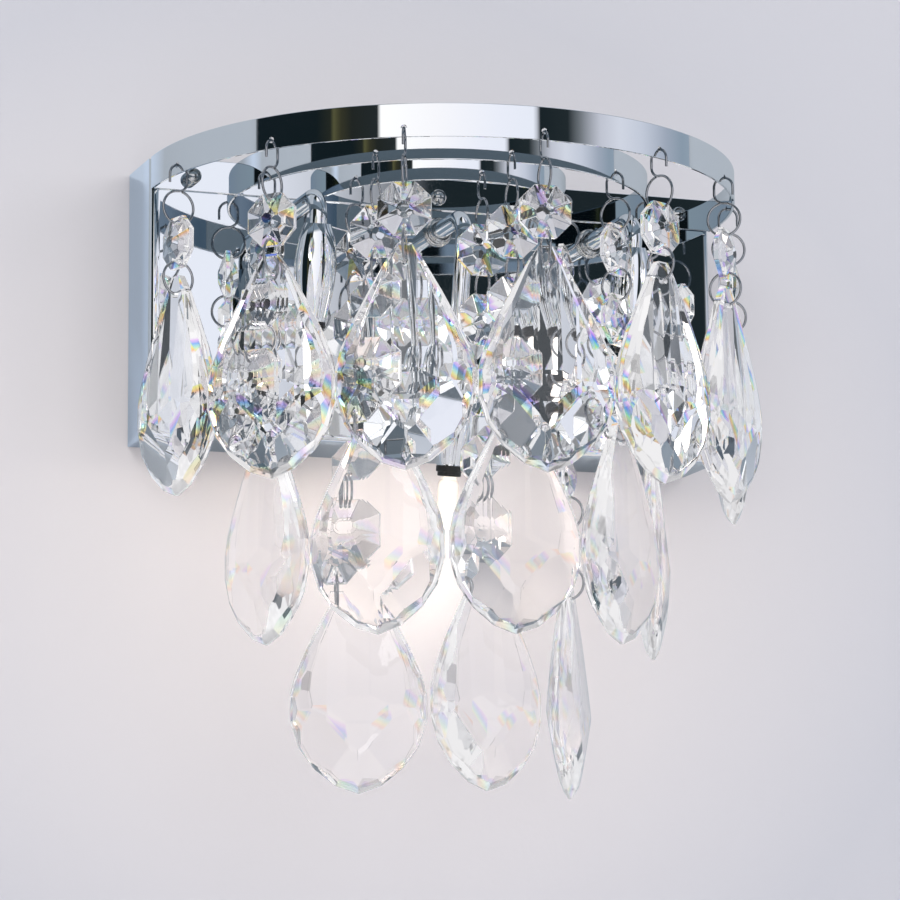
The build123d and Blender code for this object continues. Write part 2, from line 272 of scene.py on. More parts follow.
def doMath(tree, operation, *values, clamp=False):
    inputs = dict(enumerate(values))
    return addNode(tree, "ShaderNodeMath", inputs, operation=operation, use_clamp=clamp).outputs[0]


def mapRange(tree, value, low, high, toLow=0.0, toHigh=1.0):
    return addNode(tree, "ShaderNodeMapRange", {
        "Value": value, "From Min": low, "From Max": high, "To Min": toLow, "To Max": toHigh}).outputs["Result"]


def addNoise(tree, place, scale, detail=2.0):
    return addNode(tree, "ShaderNodeTexNoise", {"Vector": place, "Scale": scale, "Detail": detail}).outputs["Fac"]


def addBump(tree, height, strength, distance):
    bump = addNode(tree, "ShaderNodeBump", {"Height": height, "Strength": strength, "Distance": distance})
    return bump.outputs["Normal"]


def mixColour(tree, share, first, second, blend="MIX"):
    # each colour is three numbers or a socket
    first, second = (c if isinstance(c, bpy.types.NodeSocket) else (*c, 1) for c in (first, second))
    mix = addNode(tree, "ShaderNodeMix", {0: share, 6: first, 7: second}, data_type="RGBA", blend_type=blend)
    return mix.outputs[2]


def addRamp(tree, value, stops, constant=False):
    # stops: (place from 0 to 1, colour)
    node = addNode(tree, "ShaderNodeValToRGB", {"Fac": value})
    ramp = node.color_ramp
    if constant:
        ramp.interpolation = "CONSTANT"
    while len(ramp.elements) < len(stops):
        ramp.elements.new(0.5)
    for element, (at, colour) in zip(ramp.elements, stops):
        element.position = at
        element.color = (*colour, 1)
    return node.outputs["Color"]


def mixShader(tree, share, first, second):
    return addNode(tree, "ShaderNodeMixShader", {0: share, 1: first.outputs[0], 2: second.outputs[0]})


def showShader(tree, node):
    setInputs(tree, tree.nodes["Material Output"], {"Surface": node.outputs[0]})


# materials
def makeHazeGroup():
    # fine wiping marks and dust: a slow and a quick noise, mixed for roughness and height
    tree, given = newGroup(
        "wipedHaze", "ShaderNodeTree",
        {"Size": ("Float", 400.0), "Low": ("Float", 0.02), "High": ("Float", 0.08)},
        {"Roughness": ("Float",), "Height": ("Float",)})
    place = addNode(tree, "ShaderNodeTexCoord").outputs["Object"]
    slow = addNoise(tree, place, 28, 4)
    quick = addNoise(tree, place, given["Size"], 3)
    both = doMath(tree, "MULTIPLY", slow, quick)
    rough = mapRange(tree, both, 0.15, 0.42, given["Low"], given["High"])
    addNode(tree, "NodeGroupOutput", {"Roughness": rough, "Height": quick})
    return tree


hazeGroup = makeHazeGroup()


def newMaterial(name, **values):
    material = bpy.data.materials.new(name)
    material.use_nodes = True
    shader = material.node_tree.nodes["Principled BSDF"]
    for key, value in values.items():
        shader.inputs[key.replace("_", " ")].default_value = value
    return material, material.node_tree, shader


def addHaze(tree, shader, size, low, high, bump=0.0):
    haze = addNode(tree, "ShaderNodeGroup", {"Size": size, "Low": low, "High": high}, node_tree=hazeGroup)
    setInputs(tree, shader, {"Roughness": haze.outputs["Roughness"]})
    if bump:
        setInputs(tree, shader, {"Normal": addBump(tree, haze.outputs["Height"], bump, 0.0002)})


# finish: (metallic, colour, haze's size, lowest and highest roughness, and bump)
plainFinishes = {
    "mirrorChrome": (1.0, (0.93, 0.945, 0.96), (900, 0.012, 0.05)),     # polished plate on sheet and tube
    "wireChrome": (1.0, (0.44, 0.445, 0.46), (2200, 0.06, 0.16)),       # drawn wire, rougher, and painted darker: its colour stands in for the dark room it reflects
    "fixingChrome": (1.0, (0.62, 0.62, 0.61), (1500, 0.08, 0.22)),      # turned fixings
    "blackPlastic": (0.0, (0.012, 0.012, 0.013), (1800, 0.32, 0.5, 0.25)),
    "blockPlastic": (0.0, (0.80, 0.77, 0.70), (1600, 0.35, 0.55, 0.2)),
    "whitePlastic": (0.0, (0.86, 0.86, 0.85), (1300, 0.3, 0.45, 0.25)),
}


def makeZinc():
    # plated steel with its spangle
    material, tree, shader = newMaterial("zincSteel", Metallic=1.0)
    place = addNode(tree, "ShaderNodeTexCoord").outputs["Object"]
    spangle = addNode(tree, "ShaderNodeTexVoronoi", {"Vector": place, "Scale": 240}).outputs["Distance"]
    setInputs(tree, shader, {"Base Color": mixColour(tree, spangle, (0.52, 0.54, 0.56), (0.70, 0.72, 0.74))})
    addHaze(tree, shader, 700, 0.28, 0.45, 0.1)
    return material


def makeLampGlass():
    # frosted capsule, warm and lit
    material, tree, shader = newMaterial(
        "litGlass", Base_Color=(0.5, 0.47, 0.43, 1), Emission_Strength=3.0, Roughness=0.25)
    place = addNode(tree, "ShaderNodeTexCoord").outputs["Object"]
    warm = mixColour(tree, addNoise(tree, place, 180), (1.0, 0.92, 0.84), (1.0, 0.95, 0.90))
    rim = addNode(tree, "ShaderNodeLayerWeight", {"Blend": 0.5}).outputs["Facing"]
    lit = mixColour(tree, rim, warm, (0.42, 0.36, 0.32))
    # the crystals see the lamp as bright as it is, the camera sees it as film would
    ray = addNode(tree, "ShaderNodeLightPath").outputs
    film = mixColour(tree, ray["Is Camera Ray"], lit, (0.31, 0.31, 0.31), "MULTIPLY")
    setInputs(tree, shader, {"Emission Color": film})
    return material


def makeFireGroup():
    # painted light: the rainbow fire of a cut crystal, painted as narrow bands of the spectrum into the colour of
    # some facets
    tree, given = newGroup(
        "prismFire", "ShaderNodeTree",
        {"Bands": ("Float", 260.0), "Amount": ("Float", 0.6), "Share": ("Float", 0.3),
         "Strength": ("Float", 1.0)},
        {"Color": ("Color",)})
    place = addNode(tree, "ShaderNodeTexCoord").outputs["Object"]
    facet = addNode(tree, "ShaderNodeAttribute", attribute_name="facet").outputs["Fac"]
    waves = addNode(
        tree, "ShaderNodeTexWave",
        {"Vector": place, "Scale": given["Bands"], "Distortion": 0.6, "Detail": 1,
         "Phase Offset": doMath(tree, "MULTIPLY", facet, 40)},
        wave_type="BANDS", bands_direction="DIAGONAL", wave_profile="SAW")
    spectrum = addRamp(tree, waves.outputs["Fac"], [
        (0.0, (1, 1, 1)), (0.50, (1, 1, 1)), (0.58, (1.0, 0.36, 0.10)), (0.66, (1.0, 0.88, 0.12)),
        (0.74, (0.32, 0.90, 0.55)), (0.84, (0.08, 0.28, 1.0)), (0.93, (0.75, 0.36, 1.0)), (1.0, (1, 1, 1)),
    ])
    # painted reflection and shade: each facet gets a grey as if it showed another part of the room: most are
    # clear, some grey, and the edges are often painted dark
    shades = [
        (0.0, 1.0), (0.45, 0.90), (0.55, 1.0), (0.68, 0.72), (0.74, 0.97), (0.92, 0.45), (0.95, 1.0),
        (1.0, 0.985), (1.25, 1.0), (1.5, 0.96), (1.75, 1.0),
        (2.0, 0.35), (2.20, 0.7), (2.35, 1.0), (2.88, 0.15),
    ]
    stops = [(at / 3, (shade, shade, shade * 1.01)) for at, shade in shades]
    tones = addRamp(tree, doMath(tree, "DIVIDE", facet, 3), stops, constant=True)
    chosen = doMath(tree, "LESS_THAN", facet, given["Share"])
    amount = doMath(tree, "MULTIPLY", doMath(tree, "MULTIPLY", chosen, given["Amount"]), given["Strength"])
    tint = mixColour(tree, amount, (1, 1, 1), spectrum)
    addNode(tree, "NodeGroupOutput", {"Color": mixColour(tree, 1, tint, tones, "MULTIPLY")})
    return tree


def makeCrystalGlass():
    material, tree, shader = newMaterial(
        "cutCrystal", Base_Color=(1, 1, 1, 1), Transmission_Weight=1.0, IOR=1.54, Roughness=0.0)
    ray = addNode(tree, "ShaderNodeLightPath").outputs
    place = addNode(tree, "ShaderNodeTexCoord").outputs["Object"]
    facet = addNode(tree, "ShaderNodeAttribute", attribute_name="facet").outputs["Fac"]
    # the painted rainbow is weaker in a crystal seen behind another, and in the strings that hang below the pan
    behind = mapRange(tree, ray["Transmission Depth"], 1.4, 1.6, 1.0, 0.65)
    height = addNode(tree, "ShaderNodeSeparateXYZ", {0: place}).outputs["Z"]
    below = mapRange(tree, height, -0.085, -0.055, 0.42)
    # painted light: the rainbow fire goes into the glass's colour
    fire = addNode(
        tree, "ShaderNodeGroup",
        {"Bands": 30, "Amount": 1.0, "Share": 0.5, "Strength": doMath(tree, "MULTIPLY", behind, below)},
        node_tree=makeFireGroup())
    setInputs(tree, shader, {"Base Color": fire.outputs["Color"]})
    # painted light: light trapped inside ends as a glow instead of black, in a painted grey of its facet's own
    greys = [(0.0, 0.97), (0.22, 0.70), (0.40, 0.88), (0.62, 0.42), (0.68, 0.80), (0.88, 1.0), (0.96, 0.88)]
    stops = [(at, (grey, grey * 0.99, grey)) for at, grey in greys]
    pale = addNode(tree, "ShaderNodeEmission", {"Color": addRamp(tree, facet, stops, constant=True)})
    turns = doMath(tree, "GREATER_THAN", ray["Glossy Depth"], 2.5)
    steps = doMath(tree, "GREATER_THAN", ray["Ray Depth"], 6.5)
    trapped = mixShader(tree, doMath(tree, "MAXIMUM", turns, steps), shader, pale)
    # light passes to what stands behind
    clear = addNode(tree, "ShaderNodeBsdfTransparent", {"Color": (0.94, 0.94, 0.95, 1)})
    showShader(tree, mixShader(tree, ray["Is Shadow Ray"], trapped, clear))
    return material


def makeFinishes():
    made = {"cutCrystal": makeCrystalGlass(), "litGlass": makeLampGlass(), "zincSteel": makeZinc()}
    for name, (metallic, colour, haze) in plainFinishes.items():
        made[name], tree, shader = newMaterial(name, Metallic=metallic, Base_Color=(*colour, 1))
        addHaze(tree, shader, *haze)
    return made


finishes = makeFinishes()
print("finishes made")


# Geometry Nodes: wires and tubes along a path, and pieces hung on a line
def endTree(tree, shape, finish):
    real = addNode(tree, "GeometryNodeRealizeInstances", {"Geometry": shape})
    paint = addNode(tree, "GeometryNodeSetMaterial", {"Geometry": real.outputs["Geometry"], "Material": finish})
    addNode(tree, "NodeGroupOutput", {"Geometry": paint.outputs["Geometry"]})
    return tree


def makeTubeTree():
    tree, given = newGroup(
        "tubeAlongPath", "GeometryNodeTree",
        {"Path": ("Geometry",), "Radius": ("Float", 0.001), "Sides": ("Int", 16), "Finish": ("Material",)},
        {"Geometry": ("Geometry",)})
    curve = addNode(tree, "GeometryNodeMeshToCurve", {"Mesh": given["Path"]})
    circle = addNode(
        tree, "GeometryNodeCurvePrimitiveCircle", {"Radius": given["Radius"], "Resolution": given["Sides"]})
    tube = addNode(tree, "GeometryNodeCurveToMesh", {
        "Curve": curve.outputs["Curve"], "Profile Curve": circle.outputs["Curve"], "Fill Caps": True})
    return endTree(tree, tube.outputs["Mesh"], given["Finish"])


def makeHangTree():
    # one copy of Piece on each point, turned about Z by the point's "turn"
    tree, given = newGroup(
        "hangOnLine", "GeometryNodeTree",
        {"Points": ("Geometry",), "Piece": ("Object",), "Finish": ("Material",)},
        {"Geometry": ("Geometry",)})
    piece = addNode(tree, "GeometryNodeObjectInfo", {"Object": given["Piece"]})
    turn = addNode(tree, "GeometryNodeInputNamedAttribute", {"Name": "turn"}, data_type="FLOAT")
    angles = addNode(tree, "ShaderNodeCombineXYZ", {"Z": turn.outputs["Attribute"]})
    copies = addNode(tree, "GeometryNodeInstanceOnPoints", {
        "Points": given["Points"], "Instance": piece.outputs["Geometry"], "Rotation": angles.outputs["Vector"]})
    return endTree(tree, copies.outputs["Instances"], given["Finish"])


tubeTree = makeTubeTree()
hangTree = makeHangTree()


def runTree(mesh, tree, **values):
    obj = addObject(mesh.name, mesh)
    mod = obj.modifiers.new(tree.name, "NODES")
    mod.node_group = tree
    names = {item.name: item.identifier for item in tree.interface.items_tree if item.in_out == "INPUT"}
    for key, value in values.items():
        mod[names[key]] = value
    return takeMesh(takeResult(obj))


def tubeMesh(name, points, radius, sides, finish, closed=False):
    edges = [(i, i + 1) for i in range(len(points) - 1)]
    if closed:
        edges.append((len(points) - 1, 0))
    path = meshFrom(name, points, [], edges)
    tube = runTree(path, tubeTree, Radius=radius, Sides=sides, Finish=finishes[finish])
    shadeByAngle(tube, 40)
    return tube


def hangMesh(name, piece, points, turns, finish):
    line = meshFrom(name, points, [])
    line.attributes.new("turn", "FLOAT", "POINT").data.foreach_set("value", turns)
    return runTree(line, hangTree, Piece=piece, Finish=finishes[finish])


# cut crystals: a block with one flat cut for each facet, as a cutting wheel makes it
beadSizes = {
    "flats": 20.4 * mm,
    "thickness": 8.4 * mm,
    "girdle": 2.0 * mm,
    "table": 4.2 * mm,          # flat in the middle, across the flats
    "holeAt": 7.2 * mm,
    "holeRadius": 0.95 * mm,
    "holeSides": 12,
    "edge": 0.13 * mm,          # polished edge between two facets
    "seed": 3,                  # of the facets' painted greys and rainbow
}
dropSizes = {
    # right half of the outline from the top: (half width, depth)
    "rim": [(2.6, 0.0), (6.2, 5.0), (14.0, 18.5), (20.0, 30.0), (24.5, 40.5), (26.4, 48.0), (26.4, 58.0),
            (23.2, 68.0), (17.0, 76.5), (8.9, 82.9), (0.0, 86.0)],
    "block": (28.0, 45.0, 8.0),     # uncut block: half width, half height, how far above the belly it sits
    "holeInset": 7.5,
    "belly": 53.0,
    "girdle": 2.8,
    "thickness": 13.0,
    # inner end of the rim's facets: share of the outline, thickness there
    "rimEnd": (0.79, 9.4),
    "footEnd": (0.66, 10.6),    # the same at the foot, where they are wider
    # small facets at the corners of the outline: from this depth, degrees of tilt, height above the girdle
    "corners": (24.0, 22.0, 0.55),
    "footCorners": (76.0, 14.6, 0.28),
    # narrow row next to the girdle, from this far below the hole
    "rowStart": 12.0,
    # (inset, degrees of the facet's tilt, degrees of the row's climb) at the sides and at the foot
    "sideRow": (1.2, 46.0, 31.0),
    "footRow": (2.4, 34.0, 19.0),
    "neck": 4.6,                # thickness at the hole
    "full": (41.0, 51.0),       # below the hole, between which the middle has its full thickness
    # long facets from the neck and towards the foot: (degrees of lean, distance across, thickness there)
    "fan": [(0.0, 0.0, 13.0), (3.0, 4.6, 13.0), (7.5, 12.0, 12.2)],
    "footSlope": 3.6,
    "footNormal": -0.75,        # a side that points further down than this is part of the foot
    "holeRadius": 1.2 * mm,
    "holeSides": 14,
    "edge": 0.24 * mm,
    "seed": 11,
}


def cutFacets(name, half, lift, cuts):
    # half: the block's half sizes; cuts: (point, normal pointing out)
    solid = bmesh.new()
    bmesh.ops.create_cube(solid, size=2.0)
    for vert in solid.verts:
        vert.co = Vector((vert.co.x * half[0], vert.co.y * half[1], vert.co.z * half[2]))
    bmesh.ops.translate(solid, verts=solid.verts, vec=(0, 0, lift))
    for point, normal in cuts:
        everything = solid.verts[:] + solid.edges[:] + solid.faces[:]
        result = bmesh.ops.bisect_plane(
            solid, geom=everything, dist=1e-7, plane_co=point, plane_no=normal, clear_outer=True)
        rim = [item for item in result["geom_cut"] if isinstance(item, bmesh.types.BMEdge)]
        if len(rim) > 2:
            bmesh.ops.holes_fill(solid, edges=rim, sides=0)
    bmesh.ops.remove_doubles(solid, verts=solid.verts, dist=2e-6)
    bmesh.ops.dissolve_degenerate(solid, edges=solid.edges, dist=2e-6)
    bmesh.ops.recalc_face_normals(solid, faces=solid.faces)
    return takeSolid(name, solid)


def finishCrystal(obj, levels, sizes):
    # narrow edges between the facets catch the light as thin lines, and the wire has its bores
    edge, bore = sizes["edge"], (sizes["holeRadius"], sizes["holeSides"])
    roundEdges(obj, edge, 1, 12, smooth=False)
    reach = Vector((0, 20 * mm, 0))
    places = [Vector((0, 0, level)) for level in levels]
    cutWith(obj, [barMesh("bore", place - reach, place + reach, *bore) for place in places])
    obj.data.shade_flat()
    # a number for each face, read by the glass for its painted greys and rainbow: 0 to 1 small facet, 1 to 2
    # large facet, 2 to 3 polished edge
    picker = random.Random(sizes["seed"])
    largeFacet = 60 * mm * mm
    values = []
    for face in obj.data.polygons:
        corners = [obj.data.vertices[i].co for i in face.vertices]
        around = sum((corners[i] - corners[i - 1]).length for i in range(len(corners)))
        kind = 2 if face.area / around < edge else 1 if face.area > largeFacet else 0
        values.append(kind + picker.random() * 0.999)
    obj.data.attributes.new("facet", "FLOAT", "FACE").data.foreach_set("value", values)
    return obj


def makeBead(sizes):
    half, front, girdle = sizes["flats"] / 2, sizes["thickness"] / 2, sizes["girdle"] / 2
    turns = [math.pi / 4 * step for step in range(8)]
    outs = [Vector((math.cos(turn), 0, math.sin(turn))) for turn in turns]
    cuts = [(out * half, out) for out in outs]
    for side in (-1, 1):
        table = Vector((0, side * front, 0))
        for out in outs:
            rim = out * half + Vector((0, side * girdle, 0))
            inner = out * sizes["table"] / 2 + table
            normal = Vector((-out.z, 0, out.x)).cross(inner - rim)
            normal = normal if normal.dot(out) > 0 else -normal
            cuts.append((rim, normal.normalized()))
    bead = addObject("beadShape", cutFacets("beadShape", (half * 1.2, front, half * 1.2), 0, cuts))
    return finishCrystal(bead, (-sizes["holeAt"], sizes["holeAt"]), sizes)


def makeDrop(sizes):
    rim = [Vector((x * mm, 0, (sizes["holeInset"] - depth) * mm)) for x, depth in sizes["rim"]]
    centre = Vector((0, 0, (sizes["holeInset"] - sizes["belly"]) * mm))
    outline = rim + [Vector((-p.x, 0, p.z)) for p in reversed(rim[:-1])]
    sides = []
    for i, a in enumerate(outline):
        b = outline[(i + 1) % len(outline)]
        along = (b - a).normalized()
        out = Vector((along.z, 0, -along.x))
        if out.dot(a - centre) < 0:
            out = -out
        sides.append((a, b, out))
    cuts = [(a, out) for a, b, out in sides]
    full = sizes["thickness"] / 2 * mm
    rise = math.atan2(full - sizes["neck"] / 2 * mm, sizes["full"][0] * mm)
    fall = math.radians(-sizes["footSlope"])
    for side in (-1, 1):
        def proud(height):
            return Vector((0, side * height * mm, 0))

        def tilted(out, degrees):
            turn = math.radians(degrees)
            return out * math.sin(turn) + Vector((0, side * math.cos(turn), 0))

        girdle = proud(sizes["girdle"] / 2)
        for a, b, out in sides:
            share, thickness = sizes["footEnd"] if out.z < sizes["footNormal"] else sizes["rimEnd"]
            high = centre + (a - centre) * share + proud(thickness / 2)
            normal = (b - a).cross(high - a - girdle)
            normal = normal if normal.dot(out + girdle) > 0 else -normal
            cuts.append((a + girdle, normal.normalized()))
        # narrow row of facets next to the girdle
        for a, b, out in sides:
            if a.z > -sizes["rowStart"] * mm and b.z > -sizes["rowStart"] * mm:
                continue
            inset, tilt, slope = sizes["footRow"] if out.z < sizes["footNormal"] else sizes["sideRow"]
            climb = proud(math.tan(math.radians(slope)) * inset)
            cuts.append((a + girdle - out * inset * mm + climb, tilted(out, tilt)))
        # small facets at the corners of the outline
        for i, (corner, _, nextOut) in enumerate(sides):
            depth, tilt, lift = sizes["footCorners"]
            if corner.z > (sizes["holeInset"] - depth) * mm:
                depth, tilt, lift = sizes["corners"]
            if corner.z > (sizes["holeInset"] - depth) * mm:
                continue
            out = (nextOut + sides[i - 1][2]).normalized()
            cuts.append((corner + girdle + proud(lift), tilted(out, tilt)))
        # long facets that fan out from the neck, and the shorter ones towards the foot
        for slope, level in ((rise, sizes["full"][0]), (fall, sizes["full"][1])):
            for lean, across, thickness in sizes["fan"]:
                for hand in ((-1, 1) if lean else (1,)):
                    turn = math.radians(lean) * hand
                    normal = Vector((math.sin(turn) * math.cos(slope), side * math.cos(turn) * math.cos(slope),
                                     math.sin(slope)))
                    point = Vector((across * hand * mm, side * thickness / 2 * mm, -level * mm))
                    cuts.append((point, normal))
    halfWidth, halfHeight, lift = sizes["block"]
    half = (halfWidth * mm, full, halfHeight * mm)
    drop = addObject("dropShape", cutFacets("dropShape", half, centre.z + lift * mm, cuts))
    return finishCrystal(drop, (0,), sizes)


beadShape = makeBead(beadSizes)
dropShape = makeDrop(dropSizes)
beadFaces, dropFaces = len(beadShape.data.polygons), len(dropShape.data.polygons)
print("crystals cut:", beadFaces, "faces on a bead,", dropFaces, "on a drop")


# wires: hooks and links
wireSizes = {
    "radius": 0.52 * mm,
    "sides": 10,
    "ringRadius": 6.6 * mm,
    "hookBend": 3.8 * mm,
    "hookStub": 3.4 * mm,
    "hookDrop": 23.6 * mm,
    "sag": 0.25 * mm,
    "gap": 14.0,                # degrees left open in a hook's ring
}


def arcLine(centre, radius, start, turn, steps):
    angles = [math.radians(start + turn * step / steps) for step in range(steps + 1)]
    return [(centre[0] + radius * math.cos(a), centre[1] + radius * math.sin(a)) for a in angles]


def makeHook(sizes):
    bend, ring = sizes["hookBend"], sizes["ringRadius"]
    ringCentre = (0.0, ring - sizes["hookDrop"])
    sideCentre = (0.0, ringCentre[1] + ring + bend)
    line = [(bend, -bend - sizes["hookStub"])]
    line += arcLine((0.0, -bend), bend, 0, 180, 16)
    line += arcLine(sideCentre, bend, 180, 90, 8)
    line += arcLine(ringCentre, ring, 90, -360 + sizes["gap"], 40)[1:]
    points = [(0, -out, up) for out, up in line]
    return tubeMesh("hook", points, sizes["radius"], sizes["sides"], "wireChrome")


def makeLink(sizes):
    points = [(0, out, up) for out, up in arcLine((0.0, 0.0), sizes["ringRadius"], 0, 360, 40)[:-1]]
    mesh = tubeMesh("link", points, sizes["radius"], sizes["sides"], "wireChrome", closed=True)
    return addObject("linkShape", mesh)


hookMesh = makeHook(wireSizes)
linkShape = makeLink(wireSizes)


# strings
def makeStrings():
    joints = {joint["name"]: joint for joint in frame["joints"]}
    ring, sag, holeAt = wireSizes["ringRadius"], wireSizes["sag"], beadSizes["holeAt"]
    pitch = 2 * (sag + holeAt + ring)
    for name in sorted(joints):
        string = name[:-len("_swing")]
        if string.endswith("_drop"):
            continue
        swing, dropSwing = joints[name], joints[string + "_drop_swing"]
        place = Vector(swing["pos_m"])
        first = math.atan2(-swing["axis"][1], -swing["axis"][0])
        last = math.atan2(-dropSwing["axis"][1], -dropSwing["axis"][0])
        level = place.z - wireSizes["hookDrop"]
        beads = round((level - dropSwing["pos_m"][2]) / pitch)
        turnEach = (last - first) / (2 * beads + 1)
        beadPoints, beadTurns, linkPoints, linkTurns = [], [], [], []
        for step in range(beads):
            level -= sag
            beadPoints.append((place.x, place.y, level - holeAt))
            beadTurns.append(first + turnEach * (2 * step + 1))
            level -= 2 * holeAt + sag + ring
            linkPoints.append((place.x, place.y, level))
            linkTurns.append(first + turnEach * (2 * step + 2))
            level -= ring
        label, body = string.replace("_", ""), string + "_string"
        links = hangMesh("links", linkShape, linkPoints, linkTurns, "wireChrome")
        hookPlace = Matrix.Translation(place) @ Matrix.Rotation(first, 4, "Z")
        wires = joinMeshes(label + "Wires", [(hookMesh, hookPlace), (links, Matrix())])
        hang = (place.x, place.y, level - sag)
        beadLine = hangMesh(label + "Beads", beadShape, beadPoints, beadTurns, "cutCrystal")
        drop = hangMesh(label + "Drop", dropShape, [hang], [last], "cutCrystal")
        finishPiece(label + "Wires", wires, string + "_wires", body)
        finishPiece(label + "Beads", beadLine, string + "_beads", body)
        finishPiece(label + "Drop", drop, string + "_drop", string + "_pendant")


makeStrings()
for helper in (beadShape, dropShape, linkShape):
    bpy.data.objects.remove(helper)
print("strings hung")


# bands
bandSizes = {
    "radius": {"outer": 120.0 * mm, "middle": 85.0 * mm, "inner": 52.0 * mm},
    "height": 13.0 * mm,
    "wall": 1.2 * mm,
    "top": 55.5 * mm,
    "panFace": -32.0 * mm,
    "edge": 0.3 * mm,
    "columns": 180,
    "hookHole": 1.2 * mm,
}


def roundedSection(wall, height, edge, steps):
    # section of a strip with rounded edges, as (across, up)
    points = []
    for cornerX, cornerZ, start in ((1, 1, 0), (-1, 1, 90), (-1, -1, 180), (1, -1, 270)):
        for step in range(steps + 1):
            turn = math.radians(start + 90 * step / steps)
            x = cornerX * (wall / 2 - edge) + edge * math.cos(turn)
            z = cornerZ * (height / 2 - edge) + edge * math.sin(turn)
            points.append((x, z))
    return points


def bandMesh(name, radius, back, sizes):
    # the part of a round strip in front of y = back
    section = roundedSection(sizes["wall"], sizes["height"], sizes["edge"], 3)
    middle = radius - sizes["wall"] / 2
    centreZ = sizes["top"] - sizes["height"] / 2
    limit = math.pi / 2 - math.asin(min(1.0, (sizes["panFace"] - back) / middle))
    points, faces = [], []
    columns, count = sizes["columns"], len(section)
    for column in range(columns + 1):
        turn = -limit + 2 * limit * column / columns
        for across, up in section:
            reach = middle + across
            y = min(sizes["panFace"] - reach * math.cos(turn), back)
            points.append((reach * math.sin(turn), y, centreZ + up))
    for column in range(columns):
        for i in range(count):
            a, b = column * count + i, column * count + (i + 1) % count
            faces.append((a, a + count, b + count, b))
    faces.append(tuple(range(count)))
    faces.append(tuple(reversed(range(columns * count, (columns + 1) * count))))
    return meshFrom(name, points, faces)


def bandNormals(mesh, radius, sizes):
    # true normals of the rolled strip, so that its mirror has no ripples round the holes
    middle = radius - sizes["wall"] / 2
    centreZ = sizes["top"] - sizes["height"] / 2
    halfWall, halfHeight = sizes["wall"] / 2 - sizes["edge"], sizes["height"] / 2 - sizes["edge"]

    def normalAt(point):
        flat = Vector((point.x, point.y - sizes["panFace"]))
        reach = max(flat.length, 1e-9)
        across, up = reach - middle, point.z - centreZ
        inX, inZ = max(-halfWall, min(halfWall, across)), max(-halfHeight, min(halfHeight, up))
        out = Vector((across - inX, up - inZ))
        if out.length < 1e-9:
            return None
        out.normalize()
        return Vector((flat.x / reach * out.x, flat.y / reach * out.x, out.y))

    normals = []
    for face in mesh.polygons:
        atCentre = normalAt(face.center)
        onSkin = atCentre is not None and atCentre.dot(face.normal) > 0.6
        for index in face.vertices:
            normal = normalAt(mesh.vertices[index].co) if onSkin else None
            normals.append(tuple(normal) if normal is not None else tuple(face.normal))
    mesh.shade_smooth()
    mesh.normals_split_custom_set(normals)


def hookBores(tier, sizes):
    bores = []
    for joint in frame["joints"]:
        if joint["name"].startswith(tier) and not joint["name"].endswith("_drop_swing"):
            place = Vector(joint["pos_m"])
            out = Vector((-joint["axis"][1], joint["axis"][0], 0)).normalized()
            bores.append(barMesh("bore", place - out * 4 * mm, place + out * 4 * mm, sizes["hookHole"], 20))
    return bores


def makeBands(sizes):
    face, wall, reach = sizes["panFace"], sizes["wall"], sizes["radius"]["outer"]
    for tier, radius in sizes["radius"].items():
        # the outer band ends on the pan, the others on the flat strip
        back = face if tier == "outer" else face - wall
        band = addObject("band", bandMesh("band", radius, back, sizes))
        mesh = takeMesh(cutWith(band, hookBores(tier, sizes)))
        bandNormals(mesh, radius, sizes)
        finishPiece(tier + "Band", mesh, tier + "_band", finish="mirrorChrome")
    # flat strip that closes the outer band on the pan
    low = (-reach, face - wall, sizes["top"] - sizes["height"])
    strip = addObject("strip", boxMesh("strip", low, (reach, face, sizes["top"])))
    mesh = takeMesh(roundEdges(strip, sizes["edge"]))
    finishPiece("backStrip", mesh, "outer_band", finish="mirrorChrome")


makeBands(bandSizes)
print("bands rolled")


# back pan
panSizes = {
    "width": 240.0 * mm,
    "height": 111.0 * mm,
    "depth": 32.0 * mm,
    "wall": 1.2 * mm,
    "bend": 3.8 * mm,
}


def makePan(sizes):
    shell = bmesh.new()
    x, y, z = sizes["width"] / 2, -sizes["depth"], sizes["height"] / 2
    front = [shell.verts.new(p) for p in ((-x, y, -z), (x, y, -z), (x, y, z), (-x, y, z))]
    back = [shell.verts.new((v.co.x, 0, v.co.z)) for v in front]
    shell.faces.new(front)
    for i in range(4):
        shell.faces.new((front[(i + 1) % 4], front[i], back[i], back[(i + 1) % 4]))
    fold = [edge for edge in shell.edges if all(abs(v.co.y - y) < 1e-6 for v in edge.verts)]
    bmesh.ops.bevel(shell, geom=fold, offset=sizes["bend"], segments=8, profile=0.5, affect="EDGES")
    bmesh.ops.recalc_face_normals(shell, faces=shell.faces)
    mesh = takeSolid("pan", shell)
    if mesh.polygons[0].normal.y > 0.9:
        mesh.flip_normals()
    shadeByAngle(mesh, 50)
    pan = addObject("pan", mesh)
    mod = pan.modifiers.new("wall", "SOLIDIFY")
    mod.thickness = sizes["wall"]
    mod.offset = -1
    mod.use_even_offset = True
    mod = pan.modifiers.new("flatFaces", "WEIGHTED_NORMAL")
    mod.keep_sharp = True
    mod.weight = 100
    finishPiece("backPan", takeMesh(takeResult(pan)), "back_pan", finish="mirrorChrome")


makePan(panSizes)
print("pan folded")


